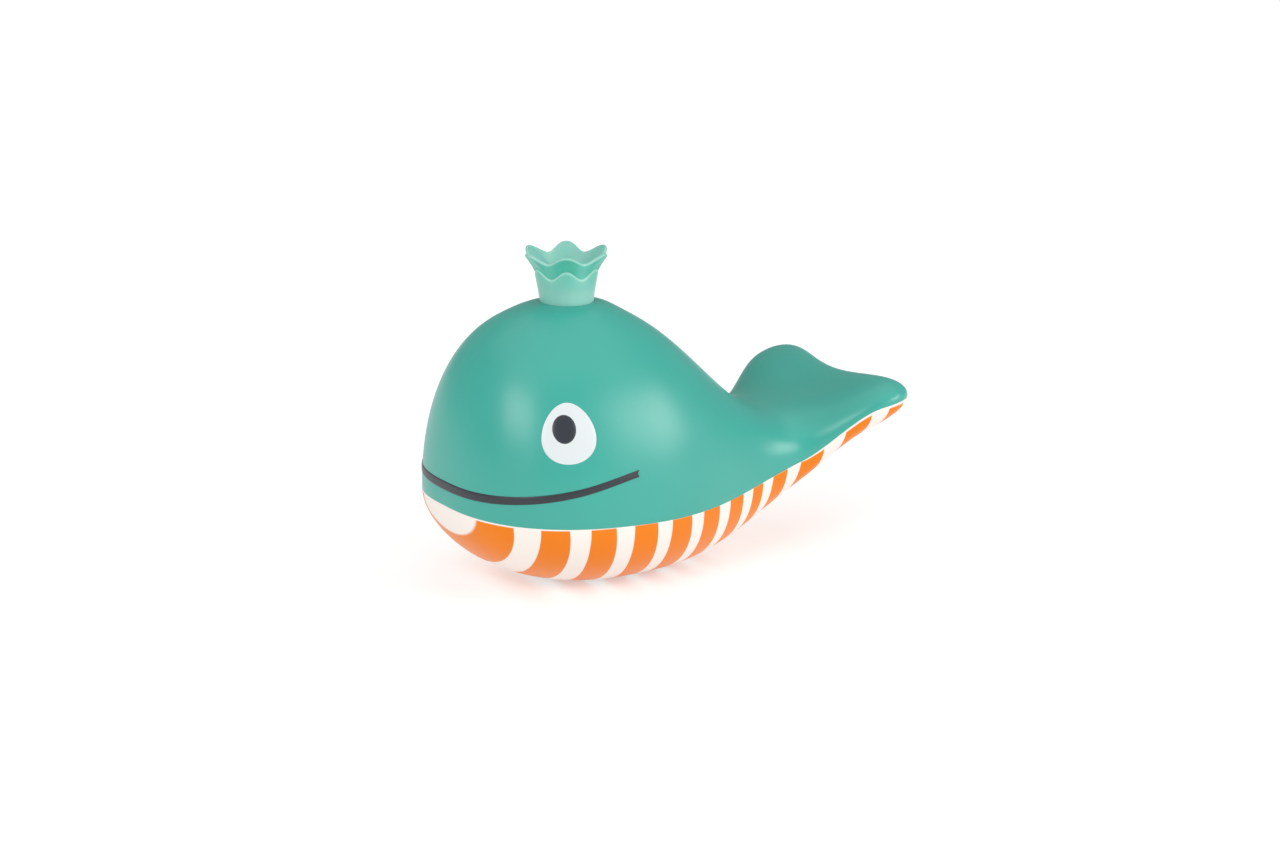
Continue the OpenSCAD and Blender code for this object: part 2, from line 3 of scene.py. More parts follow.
import bpy
import numpy as np
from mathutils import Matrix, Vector


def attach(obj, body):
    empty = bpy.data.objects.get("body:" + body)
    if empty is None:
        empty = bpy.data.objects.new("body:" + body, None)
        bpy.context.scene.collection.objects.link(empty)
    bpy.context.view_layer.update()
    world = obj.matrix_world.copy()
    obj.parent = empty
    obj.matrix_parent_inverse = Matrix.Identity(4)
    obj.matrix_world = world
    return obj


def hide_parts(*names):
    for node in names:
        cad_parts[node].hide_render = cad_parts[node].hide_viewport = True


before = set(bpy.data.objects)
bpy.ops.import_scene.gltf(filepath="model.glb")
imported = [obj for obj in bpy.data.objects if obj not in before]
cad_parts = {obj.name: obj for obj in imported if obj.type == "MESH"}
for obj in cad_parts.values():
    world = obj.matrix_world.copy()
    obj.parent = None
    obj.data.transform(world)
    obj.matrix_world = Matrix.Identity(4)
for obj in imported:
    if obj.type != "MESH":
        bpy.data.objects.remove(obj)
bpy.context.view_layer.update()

# Lengths are in millimetres, as in the part's source, and x runs from the nose to the tail
MM = 0.001

# Body
BODY_LEN = 150.0
HEAD_H = 84.9
HEAD_W = 81.38
PEAK_X = 38.0
WIDE_X = 49.4
NOSE_Z = 27.3
KEEL_FRONT_X = 52.0
KEEL_BACK_X = 57.0
FOOT_CUT = 1.2
SEAM_LOW_X = 70.6
SEAM_LOW_Z = 24.1
WALL = 3.0
LIP_H = 1.2
SEAM_GROOVE = 0.16

# Tail
RIDGE_LOW_X = BODY_LEN - 38.5
RIDGE_LOW_Z = 44.1
WAIST_X = BODY_LEN - 40.2
WAIST_W = 52.0
RIDGE_BLEND = 6.0
BLEND_FULL_X = WAIST_X - 10.0
FLUKE_X = BODY_LEN - 10.7
FLUKE_W = 72.4
FLUKE_END = 0.69
NOTCH = 3.9
NOTCH_BEND = 1.5
DISH = 4.6
FLUKE_LIFT = 9.2
LIFT_START_X = BODY_LEN - 38.6
LIFT_END_X = BODY_LEN - 14.3
TAIL_ROUND = 14.3
TAIL_TOP_Z = 56.6
TAIL_SEAM_Z = 39.1
TAIL_KEEL_Z = 33.5
HOLLOW_END_X = BODY_LEN - 14.0
HOLLOW_ROUND = 24.0

# Curves
TOP_ROUND = 2.5
SIDE_ROUND = 2.63
CHIN_ROUND = 2.04
BACK_BEND = 1.36
WAIST_BEND = 1.0
TAIL_BEND = 1.67
SEAM_BEND = 1.18
SEAM_DROP = 1.9
KEEL_BEND = 1.29
DISH_ROUND = 1.83
EDGE_FULL = 0.56
BELLY_FULL = 0.16

# Neck and spout
BLOWHOLE_X = 42.9
MOUND_Z = HEAD_H + 0.4
MOUND_R = 13.5
MOUND_FADE = 3.5
COLLAR_R = 11.5
COLLAR_LEN = 10.0
SEAT_DEPTH = 1.9
SEAT_ROUND = 0.12
BUSH_R = 7.8
FLANGE_T = 1.0
PLUG_R = 6.72
PLUG_BORE_R = 5.02
PLUG_LEN = 11.0
SEAL_T = 1.1
SEAL_DROP = 3.2
SEAL_SEAT_R = 5.66
FOOT_R = 8.2
SEAT_R = FOOT_R + 0.08
CRESTS = 6
CREST_H = 1.3
CREST_LEAN = 0.95
CUP_CREST_H = 1.32
CUP_LEAN = 0.3
CUP_R = 9.85
CUP_H = 10.2
CUP_FLOOR = 2.4
FLARE_R = 12.5
FLARE_H = 15.1
CUP_BEND = 1.5
CREST_START = 0.55
FLARE_BEND = 1.1
TIER_WALL = 1.1
TIER_GAP = 0.4
LAP_ARC = (120, 60)
LAP_GAP = 0.03
LAP_DROP = 0.1
FUNNEL_RISE = 0.5
EDGE_ROUND = 0.22
MOST_ROUND = 0.45
STEM_R = 4.98
STEM_BORE_R = 3.88
STEM_LEN = 8.4

# Face
EYE_X = 24.3
EYE_Z = 53.7
EYE_W = 16.1
EYE_H = 18.2
EYE_TAPER = 0.18
EYE_LEAN = -1.0
EYE_DEPTH = 2.0
PUPIL_W = 7.2
PUPIL_H = 8.7
PUPIL_FORE = 1.3
PUPIL_UP = 1.3
PUPIL_DEPTH = 0.9
PROUD = 0.25
RIM_SINK = 0.35
RIM_ROUND = 5
MOUTH_Z = 33.7
MOUTH_RISE = 7.4
MOUTH_ANGLE = 83.0
MOUTH_BEND = 2.7
MOUTH_END_DROP = 0.95
MOUTH_END_START = 0.8
MOUTH_W = 2.8
MOUTH_END_W = 2.0
MOUTH_DEPTH = 1.0
MOUTH_END_CUT = 0.8
STRIP_RISE = 0.9
STRIP_SINK = 0.5
STRIP_ROUND = 4

# Print on the belly: where each bar starts and ends along the seam, and how it bends and widens below
BARS = np.array([
    (1.9, 8.1), (14.4, 22.0), (28.2, 36.1), (42.2, 50.2), (55.5, 63.4), (68.6, 75.9), (81.1, 87.3),
    (91.9, 96.4), (100.7, 106.5), (111.4, 118.9), (125.0, 132.2), (137.9, 143.8)])
PRINT_START_X = -4.0
BAR_LEAN = 0.08
LEAN_END = 1.4
BAR_BEND = 0.0003
BAR_HALF = 0.25
BAR_SWELL = 0.004
MARGIN = 0.12
NOSE_MARGIN = 0.35
NOSE_MARGIN_END_X = 55.0
TAIL_MARGIN = 0.6
TAIL_MARGIN_X = 108.0
TAIL_MARGIN_RAMP = 15.0
BAR_SOFT = 0.01
MARGIN_SOFT = 0.12
INK_RISE = 1.5

# Grain: depth of the finest relief in metres, and how far mottling, grain and ink change the roughness
GRAIN_DEPTH = 0.0001
CLOUD_ROUGH = 0.1
GRAIN_ROUGH = 0.04
INK_GLOSS = 0.04

# Fineness of the surfaces
AROUND = 448
SKIN_ROWS = 112
FOOT_ROWS = 12
HOLLOW_ROWS = 48
RIDGE_SAMPLES = 13
FLANK_STEPS = 3000
END_STEPS = 300
SEAT_STEPS = 6
TURN_STEPS = 288
CUP_ROWS = 24
FLARE_ROWS = 16
LIP_STEPS = 9
LAP_STEPS = 4
ROUND_STEPS = 3
EYE_STEPS = 160
EYE_RINGS = 30
MOUTH_STEPS = 321
MOUTH_ROWS = 15
HALVINGS = 30
HALF_STEP = 0.5
PROBE = 0.01
SMALLEST = 1e-6
CREASE = 50
CROWN_CREASE = 60


def ease(t, late=1.0):
    """A smooth step: half of one minus the cosine of half a turn, times t to the power late."""
    return (1 - np.cos(np.pi * np.clip(t, 0, 1) ** late)) / 2


def quarter(t, power):
    """A quarter of a superellipse: 1 at t = 0, 0 at t = 1, upright there."""
    return (1 - np.clip(t, 0, 1) ** power) ** (1 / power)


def ridge_line(x):
    """Height of the back: a smooth fall from the head, then a power curve up to the tail."""
    fall = HEAD_H + (RIDGE_LOW_Z - HEAD_H) * ease((x - PEAK_X) / (RIDGE_LOW_X - PEAK_X), BACK_BEND)
    climb = np.clip((x - RIDGE_LOW_X) / (BODY_LEN - RIDGE_LOW_X), 0, 1) ** TAIL_BEND
    return np.where(x < RIDGE_LOW_X, fall, RIDGE_LOW_Z + (TAIL_TOP_Z - RIDGE_LOW_Z) * climb)


def ridge_z(x):
    """The back's height, averaged along a short length behind the head, so that its bend is gradual."""
    spread = RIDGE_BLEND * ease((x - WIDE_X) / (BLEND_FULL_X - WIDE_X))
    steps = np.linspace(-1, 1, RIDGE_SAMPLES)
    return sum(ridge_line(x + spread * step) for step in steps) / len(steps)


def top_z(x, inset=0.0):
    """Height of the top line: a superellipse from nose to peak, then the back, less the wall inside."""
    brow = NOSE_Z + (HEAD_H - inset - NOSE_Z) * quarter((PEAK_X - x) / (PEAK_X - inset), TOP_ROUND)
    slope = (ridge_z(x + HALF_STEP) - ridge_z(x - HALF_STEP)) / (2 * HALF_STEP)
    return np.where(x < PEAK_X, brow, ridge_z(x) - inset * np.sqrt(1 + slope ** 2))


def keel_z(x, inset=0.0):
    """Height of the keel line: a superellipse under the chin, level, then a smooth rise to the tail."""
    low = inset if inset > 0 else -FOOT_CUT
    chin = NOSE_Z - (NOSE_Z - low) * quarter((KEEL_FRONT_X - x) / (KEEL_FRONT_X - inset), CHIN_ROUND)
    rise = ease((x - KEEL_BACK_X) / (BODY_LEN - KEEL_BACK_X), KEEL_BEND)
    return np.where(x < KEEL_FRONT_X, chin, low + (TAIL_KEEL_Z + inset - low) * rise)


def half_w(x, inset=0.0):
    """Half width: a superellipse at the head, smooth steps to waist and flukes, then an ellipse."""
    head = (HEAD_W / 2 - inset) * quarter((WIDE_X - x) / (WIDE_X - inset), SIDE_ROUND)
    waist = HEAD_W / 2 + (WAIST_W - HEAD_W) / 2 * ease((x - WIDE_X) / (WAIST_X - WIDE_X), WAIST_BEND)
    fluke = WAIST_W / 2 + (FLUKE_W - WAIST_W) / 2 * ease((x - WAIST_X) / (FLUKE_X - WAIST_X))
    end = FLUKE_W / 2 * (FLUKE_END + (1 - FLUKE_END) * quarter((x - FLUKE_X) / (BODY_LEN - FLUKE_X), 2))
    return np.select([x < WIDE_X, x < WAIST_X, x < FLUKE_X], [head, waist - inset, fluke - inset], end)


def lift_share(x):
    """How far the flukes' lift and dish have come in, from 0 to 1."""
    return ease((x - LIFT_START_X) / (LIFT_END_X - LIFT_START_X))


def seam_z(x):
    """Height of the seam: a power curve down from the nose, a smooth rise to the tail, and the lift."""
    front = SEAM_LOW_Z + (NOSE_Z - SEAM_LOW_Z) * np.clip(1 - x / SEAM_LOW_X, 0, 1) ** SEAM_DROP
    rise = ease((x - SEAM_LOW_X) / (BODY_LEN - SEAM_LOW_X), SEAM_BEND)
    back = SEAM_LOW_Z + (TAIL_SEAM_Z - SEAM_LOW_Z) * rise
    return FLUKE_LIFT * lift_share(x) + np.where(x < SEAM_LOW_X, front, back)


def dish_z(x, eta):
    """Depth of the flukes' dish at a share eta of the half width."""
    return DISH * lift_share(x) * (1 - eta ** 2) ** DISH_ROUND


def arch(x, eta, side):
    """Swell of a cross section: 0 at the seam and 1 in the middle, fuller towards the tail."""
    power = 2 + (EDGE_FULL if side > 0 else BELLY_FULL) * ease((x - WIDE_X) / (WAIST_X - WIDE_X))
    return (1 - np.abs(eta) ** power) ** (1 / power)


def swell(x, side, inset=0.0, raised=0.0):
    """Height of the swell in the middle, above the seam for side 1 and below it for side -1."""
    base = seam_z(x) + raised - dish_z(x, 0)
    return np.maximum(0, np.where(side > 0, top_z(x, inset) - base, base - keel_z(x, inset)))


def mound_share(x, y):
    """Share of the level mound: e to minus q, a power of the distance over the mound's radius."""
    return np.exp(-(np.hypot(x - BLOWHOLE_X, y) / MOUND_R) ** MOUND_FADE)


def hollow_w(x):
    """Half width of the hollow, which closes as an ellipse at the tail."""
    return half_w(x, WALL) * quarter((x - HOLLOW_END_X + HOLLOW_ROUND) / HOLLOW_ROUND, 2)


def parting(x, y, lift=0.0):
    """Points where the shells meet: the seam's height less the dish, notched at the tail."""
    eta = np.clip(y / np.maximum(half_w(x), SMALLEST), -1, 1)
    behind = np.clip((x - WAIST_X) / (BODY_LEN - WAIST_X), 0, 1)
    notch = NOTCH * behind ** 2 * (1 - eta ** 2) ** NOTCH_BEND
    return np.stack([x - notch, y + 0 * x, seam_z(x) - dish_z(x, eta) + lift], -1)


def full_skin(x, y, side):
    """Points on the outer skin: the parting surface plus the swell times its arch across the body."""
    eta = np.clip(y / np.maximum(half_w(x), SMALLEST), -1, 1)
    close = quarter((x - BODY_LEN + TAIL_ROUND) / TAIL_ROUND, 2)
    points = parting(x, y, side * swell(x, side) * close * arch(x, eta, side))
    if side > 0:
        points[..., 2] += (MOUND_Z - points[..., 2]) * mound_share(x, y)
    return points


def skin(x, y, side):
    """The outer skin with its foot cut level."""
    return np.maximum(full_skin(x, y, side), (-np.inf, -np.inf, 0))


def hollow(x, y, side):
    """Points on the hollow's wall: the parting surface, raised by the lip, plus the inset swell."""
    eta = np.clip(y / np.maximum(hollow_w(x), SMALLEST), -1, 1)
    close = quarter((x - HOLLOW_END_X + HOLLOW_ROUND) / HOLLOW_ROUND, 2)
    return parting(x, y, LIP_H + side * swell(x, side, WALL, LIP_H) * close * arch(x, eta, side))


def outline(width, start, end):
    """Plan outline for a half width: down one flank, across the end and back, in even steps."""
    x = start + (end - start) * ease(np.linspace(0, 1, FLANK_STEPS))
    w = width(x)
    across = np.linspace(-w[-1], w[-1], END_STEPS)
    px = np.concatenate([x, np.full(END_STEPS, end), x[::-1]])
    py = np.concatenate([-w, across, w[::-1]])
    length = np.concatenate([[0], np.cumsum(np.hypot(np.diff(px), np.diff(py)))])
    steps = np.linspace(0, length[-1], AROUND, endpoint=False)
    return np.interp(steps, length, px), np.interp(steps, length, py)


def bearing(x, y, axis_x):
    """Angle round an upright axis, rising from minus half a turn at the nose."""
    angle = np.arctan2(y, x - axis_x)
    angle[0] = -np.pi
    return angle


def towards(start, end, share):
    """Plan points on straight lines from start to end, at the given shares of the way."""
    return [a + (b - a) * share for a, b in zip(start, end)]


def fan(start, end, share):
    """Plan points from start to the rim: straight lines in front, even shares of the width behind.

    Straight lines would leave the plan at the waist, so there y is the half width times its share."""
    x, y = towards(start, end, share)
    first = start[1] / half_w(start[0])
    last = end[1] / np.maximum(half_w(end[0]), SMALLEST)
    eta = first + (last - first) * share
    behind = ease((end[0] - WIDE_X) / (WAIST_X - WIDE_X))
    return x, y + behind * (eta * half_w(x) - y)


def surface(rows, first=None, last=None):
    """Points and faces of a closed surface: rows of rings, capped by end points or joined into a tube.

    Each ring is joined to the next by quads. With end points, triangles close the surface.
    Without them the last ring joins the first. Faces are turned so that the volume is positive."""
    rows = np.asarray(rows)
    count, around = rows.shape[:2]
    index = np.arange(count * around).reshape(count, around)
    capped = first is not None
    low = index[:-1] if capped else index
    high = index[1:] if capped else np.roll(index, -1, 0)
    quads = np.stack([low, np.roll(low, -1, 1), np.roll(high, -1, 1), high], -1).reshape(-1, 4)
    points = rows.reshape(-1, 3)
    faces = quads.tolist()
    triangles = np.concatenate([quads[:, [0, 1, 2]], quads[:, [0, 2, 3]]])
    if capped:
        points = np.vstack([points, first, last])
        a, b = index[0], index[-1]
        caps = np.concatenate([
            np.stack([np.roll(a, -1), a, np.full(around, count * around)], -1),
            np.stack([b, np.roll(b, -1), np.full(around, count * around + 1)], -1)])
        faces += caps.tolist()
        triangles = np.concatenate([triangles, caps])
    p, q, r = (points[triangles[:, k]] for k in range(3))
    if np.einsum("ij,ij->", p, np.cross(q, r)) < 0:
        faces = [face[::-1] for face in faces]
    return points, faces


def piece(name, shape, finish, body, slot, node, crease=CREASE, **attributes):
    """Adds a named mesh in the frame, with its finish and body, and hides the solid that it stands for.
    The slot is not used.

    Edges that turn by more than the crease's angle stay sharp. Attributes are numbers at the points."""
    points, faces = shape
    mesh = bpy.data.meshes.new(name)
    mesh.from_pydata((points * MM).tolist(), [], faces)
    mesh.polygons.foreach_set("use_smooth", np.ones(len(faces), bool))
    mesh.set_sharp_from_angle(angle=np.radians(crease))
    for key, values in attributes.items():
        mesh.attributes.new(key, "FLOAT", "POINT").data.foreach_set("value", values.astype(np.float32))
    mesh.materials.append(finish)
    mesh.update()
    thing = bpy.data.objects.new(name, mesh)
    bpy.context.scene.collection.objects.link(thing)
    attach(thing, body)
    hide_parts(node)


def in_frame(points):
    """Moves points from the nose's x to the frame's x."""
    return points - [BODY_LEN / 2, 0, 0]


class Value:
    """A socket in a finish, so that shader maths reads as Python."""

    def __init__(self, finish, socket):
        self.finish = finish
        self.socket = socket

    def math(self, operation, *others, swap=False):
        """The result of a math node on this value and the others, which may change places."""
        parts = [self, *others]
        parts = parts[::-1] if swap else parts
        return self.finish.make("ShaderNodeMath", {"operation": operation}, dict(enumerate(parts)))

    def __add__(self, other):
        return self.math("ADD", other)

    def __sub__(self, other):
        return self.math("SUBTRACT", other)

    def __rsub__(self, other):
        return self.math("SUBTRACT", other, swap=True)

    def __mul__(self, other):
        return self.math("MULTIPLY", other)

    __radd__ = __add__
    __rmul__ = __mul__

    def step(self, low, high):
        """0 below low, 1 above high and smooth between."""
        sockets = {"Value": self, "From Min": low, "From Max": high}
        return self.finish.make("ShaderNodeMapRange", {"interpolation_type": "SMOOTHSTEP"}, sockets)


class Finish:
    """A material whose nodes are made one by one."""

    def __init__(self, name):
        self.material = bpy.data.materials.new(name)
        self.material.use_nodes = True
        self.tree = self.material.node_tree
        self.shader = next(n for n in self.tree.nodes if n.type == "BSDF_PRINCIPLED")

    def make(self, kind, settings=None, sockets=None, output=0):
        """Adds a node with its settings and the values or links of its sockets."""
        node = self.tree.nodes.new(kind)
        for key, value in (settings or {}).items():
            setattr(node, key, value)
        for key, value in (sockets or {}).items():
            self.feed(node.inputs[key], value)
        return Value(self, node.outputs[output])

    def feed(self, socket, value):
        """Links a value to a socket, or sets the socket to a number or colour."""
        if isinstance(value, Value):
            self.tree.links.new(value.socket, socket)
        else:
            socket.default_value = value

    def shade(self, **sockets):
        """Feeds the shader's sockets, named with underscores."""
        for key, value in sockets.items():
            self.feed(self.shader.inputs[key.replace("_", " ")], value)
        return self.material

    def place(self):
        """Where a point lies on its own piece, in metres."""
        return self.make("ShaderNodeTexCoord", output=3)

    def attribute(self, name):
        """A number that the mesh stores at its points."""
        return self.make("ShaderNodeAttribute", {"attribute_name": name}, output=2)

    def noise(self, scale, detail):
        """Smooth random values from 0 to 1, with so many swings in a metre."""
        sockets = {"Vector": self.place(), "Scale": scale, "Detail": detail}
        return self.make("ShaderNodeTexNoise", None, sockets)

    def cloud(self, scale=45.0):
        """Broad, faint mottling."""
        return self.noise(scale, 3.0)

    def grain(self):
        """Fine satin grain."""
        return self.noise(2600.0, 1.0)

    def mix(self, low, high, share):
        """A colour between low and high."""
        return self.make("ShaderNodeMix", {"data_type": "RGBA"}, {0: share, 6: low, 7: high}, 2)

    def bump(self, height, strength):
        """Normals of a fine relief."""
        sockets = {"Height": height, "Strength": strength, "Distance": GRAIN_DEPTH}
        return self.make("ShaderNodeBump", None, sockets)


def srgb(red, green, blue):
    """A colour given as screen values from 0 to 255, as the shader's linear colour."""
    value = np.array([red, green, blue]) / 255
    linear = np.where(value <= 0.04045, value / 12.92, ((value + 0.055) / 1.055) ** 2.4)
    return (*linear, 1.0)


def shaded(colour, factor):
    """A colour with its brightness multiplied by a factor."""
    return (*(np.array(colour[:3]) * factor), 1.0)


def moulded(name, colour, rough, spread=0.05, grain=0.08, **sockets):
    """Moulded plastic: faint mottling, roughness that wanders a little and a fine satin grain."""
    finish = Finish(name)
    cloud = finish.cloud()
    fine = finish.grain()
    return finish.shade(
        Base_Color=finish.mix(shaded(colour, 1 - spread), shaded(colour, 1 + spread), cloud),
        Roughness=rough - CLOUD_ROUGH / 2 + CLOUD_ROUGH * cloud + GRAIN_ROUGH * fine,
        Normal=finish.bump(fine, grain), **sockets)


TEAL = srgb(58, 159, 145)
MINT = srgb(130, 192, 180)
# Painted shade and painted light for the spout's plastic
MINT_PAINTED_SHADE = srgb(86, 184, 164)
MINT_PAINTED_LIGHT = srgb(147, 207, 193)
CREAM = srgb(236, 228, 221)
ORANGE = srgb(227, 121, 14)
SLATE = srgb(40, 44, 52)
WHITE = srgb(209, 215, 216)
CLEAR = srgb(222, 233, 235)
BLACK = srgb(46, 48, 52)
FLOOR = srgb(190, 190, 190)
GLOW = srgb(255, 255, 255)


def printed_belly():
    """White vinyl with orange bars: a bar where the stripe count is near a whole number."""
    finish = Finish("striped_vinyl")
    count = finish.attribute("stripe")
    offset = (count + 0.5).math("FRACT") - 0.5
    bar = (finish.attribute("bar_half") - offset.math("ABSOLUTE")).step(-BAR_SOFT, BAR_SOFT)
    inside = finish.attribute("inside_edge").step(-MARGIN_SOFT, MARGIN_SOFT)
    cloud = finish.cloud()
    fine = finish.grain()
    white = finish.mix(shaded(CREAM, 0.97), CREAM, cloud)
    orange = finish.mix(shaded(ORANGE, 0.96), shaded(ORANGE, 1.04), cloud)
    ink = bar * inside
    return finish.shade(
        Base_Color=finish.mix(white, orange, ink),
        Roughness=0.33 + CLOUD_ROUGH * cloud - INK_GLOSS * ink,
        Normal=finish.bump(fine + INK_RISE * ink, 0.1), Specular_IOR_Level=0.2)


def spout_plastic():
    """Thin milky plastic: painted shade under the flare and painted light along the lips, as a number
    stored at the points says.
    """
    finish = Finish("mint_plastic")
    tone = finish.attribute("tone")
    cloud = finish.cloud(60.0)
    fine = finish.grain()
    body = finish.mix(shaded(MINT, 0.97), shaded(MINT, 1.03), cloud)
    with_painted_shade = finish.mix(body, MINT_PAINTED_SHADE, tone)
    return finish.shade(
        Base_Color=finish.mix(with_painted_shade, MINT_PAINTED_LIGHT, -1 * tone),
        Roughness=0.3 + CLOUD_ROUGH * cloud + GRAIN_ROUGH * fine,
        Normal=finish.bump(fine, 0.08), Subsurface_Weight=0.3, Subsurface_Scale=0.003)


teal_vinyl = moulded("teal_vinyl", TEAL, 0.32, Specular_IOR_Level=0.45)
striped_vinyl = printed_belly()
eye_white = moulded("eye_white", WHITE, 0.34, 0.015)
slate_trim = moulded("slate_trim", SLATE, 0.4)
neck_plastic = moulded("neck_plastic", TEAL, 0.4)
mint_plastic = spout_plastic()
seal_rubber = moulded("seal_rubber", BLACK, 0.6)
clear_plastic = moulded("clear_plastic", CLEAR, 0.2, 0.01, Transmission_Weight=0.55)

# Shells: rows of rings run down the skin from the neck or the foot to the seam, in over the rim's
# ledge and lip, and back along the hollow
rim_x, rim_y = outline(half_w, 0.0, BODY_LEN)
skin_share = np.sin(np.pi / 2 * np.linspace(0, 1, SKIN_ROWS))[:, None]
hollow_share = np.sin(np.pi / 2 * np.linspace(1, 0, HOLLOW_ROWS))[:, None]


def hollow_rim():
    """Plan points of the hollow's edge, one for each point of the rim, so that both meet nowhere.

    In front, x runs with the rim's. Round the tail, x and y follow the sine and cosine of a quarter
    turn."""
    bend_x = HOLLOW_END_X - HOLLOW_ROUND
    step = np.minimum(np.arange(AROUND), AROUND - np.arange(AROUND))
    last = step[rim_x < bend_x + WALL].max()
    turn = np.pi / 2 * np.clip((step - last) / (AROUND / 2 - last), 0, 1)
    x = WALL + (bend_x - WALL) * np.minimum(rim_x / (bend_x + WALL), 1) + HOLLOW_ROUND * np.sin(turn)
    return x, np.sign(rim_y) * half_w(x, WALL) * np.cos(turn)


inner_x, inner_y = hollow_rim()


def rim_rows():
    """The rim between skin and hollow: a fine groove at the seam, a ledge and the locating lip."""
    spine_x = np.clip(rim_x, WALL, WAIST_X)
    groove = towards((rim_x, rim_y), (spine_x, 0), SEAM_GROOVE / np.hypot(rim_x - spine_x, rim_y))
    middle = towards((rim_x, rim_y), (inner_x, inner_y), 0.5)
    return [parting(*groove), parting(*middle), parting(*middle, LIP_H)]


def seated(x, y, z):
    """A ring at one height."""
    return np.stack([x, y, np.broadcast_to(z, x.shape)], -1)


def back_shell():
    """Upper shell: a tube of rings that also goes round the neck's collar, bore and seat."""
    angle = bearing(inner_x, inner_y, BLOWHOLE_X)

    def ring(radius):
        """Plan points of a circle round the spout's axis."""
        return BLOWHOLE_X + radius * np.cos(angle), radius * np.sin(angle)

    seat_z = MOUND_Z - SEAT_DEPTH
    brink = ring(SEAT_R + SEAT_ROUND)
    brink_z = skin(*brink, 1)[:, 2]
    rows = [seated(*ring(SEAT_R), seat_z)]
    for bend in np.linspace(0, np.pi / 2, SEAT_STEPS, endpoint=False):
        radius = SEAT_R + SEAT_ROUND * (1 - np.cos(bend))
        rows.append(seated(*ring(radius), brink_z - SEAT_ROUND * (1 - np.sin(bend))))
    rows += list(skin(*fan(brink, (rim_x, rim_y), skin_share), 1))[:-1]
    rows += rim_rows()
    rows += list(hollow(*towards(ring(COLLAR_R), (inner_x, inner_y), hollow_share), 1))
    for radius, drop in ((COLLAR_R, COLLAR_LEN), (BUSH_R, COLLAR_LEN), (BUSH_R, 0)):
        rows.append(seated(*ring(radius), seat_z - drop))
    return surface(in_frame(np.array(rows)))


def foot_share(pole):
    """Share of the way from the pole to the rim where the skin leaves the floor, found by halving."""
    low, high = np.zeros(AROUND), np.ones(AROUND)
    for _ in range(HALVINGS):
        middle = (low + high) / 2
        sunk = full_skin(*fan(pole, (rim_x, rim_y), middle), -1)[:, 2] < 0
        low, high = np.where(sunk, middle, low), np.where(sunk, high, middle)
    return high


def belly_shell(outer_skin):
    """Lower shell: rings over the foot, up to the seam and back along the hollow, with closed poles."""
    pole_x = (KEEL_FRONT_X + KEEL_BACK_X) / 2
    pole = (np.full(AROUND, pole_x), np.zeros(AROUND))
    foot = foot_share(pole)
    level = foot * np.linspace(0, 1, FOOT_ROWS)[:-1, None]
    share = np.concatenate([level, foot + (1 - foot) * skin_share])
    outer = outer_skin(*fan(pole, (rim_x, rim_y), share), -1)
    inside = hollow(*towards(pole, (inner_x, inner_y), hollow_share), -1)
    rows = np.array([*outer[1:-1], *rim_rows(), *inside[:-1]])
    first, last = outer[0, 0], hollow(np.array([pole_x]), np.zeros(1), -1)[0]
    return surface(in_frame(rows), in_frame(first), in_frame(last))


def depth_below(points):
    """Height of the seam above the points."""
    return np.maximum(seam_z(np.clip(points[:, 0] + BODY_LEN / 2, 0, BODY_LEN)) - points[:, 2], 0)


def stripe_count(points):
    """Bars counted from the nose: whole numbers at their middles, a quarter off at their edges.

    Lower down, the bars lean a little, backwards in front of the middle and forwards behind it, and
    under the head they bend back by the cube of the depth."""
    x = points[:, 0] + BODY_LEN / 2
    depth = depth_below(points)
    front = 1 - np.clip(2 * x / BODY_LEN, 0, LEAN_END) ** 3
    start = x - BAR_LEAN * front * depth - BAR_BEND * np.maximum(front, 0) * depth ** 3
    edges = np.concatenate([[PRINT_START_X], BARS.ravel(), [BODY_LEN]])
    counts = np.concatenate([[-0.5], np.arange(BARS.size) / 2 - BAR_HALF, [len(BARS) - 0.5]])
    return np.interp(start, edges, counts)


def bar_half(points):
    """Half width of a bar in that count: a parabola of the depth, widest halfway down the belly."""
    depth = depth_below(points)
    return BAR_HALF + BAR_SWELL * depth * (1 - depth / SEAM_LOW_Z)


def inside_edge(points):
    """Distance from the seam in a cross section, less the white margin that the print leaves there."""
    x = np.clip(points[:, 0] + BODY_LEN / 2, 0, BODY_LEN)
    margin = MARGIN + NOSE_MARGIN * ease(1 - x / NOSE_MARGIN_END_X)
    margin += TAIL_MARGIN * ease((x - TAIL_MARGIN_X) / TAIL_MARGIN_RAMP)
    return np.hypot(half_w(x) - np.abs(points[:, 1]), seam_z(x) - points[:, 2]) - margin


piece("back_skin", back_shell(), teal_vinyl, "whale", "teal_vinyl", "back_shell")
uncut = belly_shell(full_skin)[0]
piece("belly_skin", belly_shell(skin), striped_vinyl, "whale", "striped_vinyl", "belly_shell",
      stripe=stripe_count(uncut), bar_half=bar_half(uncut), inside_edge=inside_edge(uncut))


# Face: buttons and a strip that follow the upper head, taken as a field that is 1 on its skin
def field(p):
    """Squared share of the height above the seam plus squared share of the half width.

    The nose itself has no height or width, so x is kept just behind it."""
    x = np.maximum(p[..., 0], PROBE)
    rise = (p[..., 2] - seam_z(x)) / (top_z(x) - seam_z(x))
    return rise ** 2 + (p[..., 1] / half_w(x)) ** 2


def reach(start, direction, low, high):
    """Distance from start along direction to the skin, found by halving."""
    low = np.full(start.shape[:-1], float(low))
    high = np.full(start.shape[:-1], float(high))
    for _ in range(HALVINGS):
        middle = (low + high) / 2
        inside = field(start + middle[..., None] * direction) < 1
        low = np.where(inside, middle, low)
        high = np.where(inside, high, middle)
    return (low + high) / 2


def unit(v):
    """A direction as a step of length 1."""
    return v / np.linalg.norm(v)


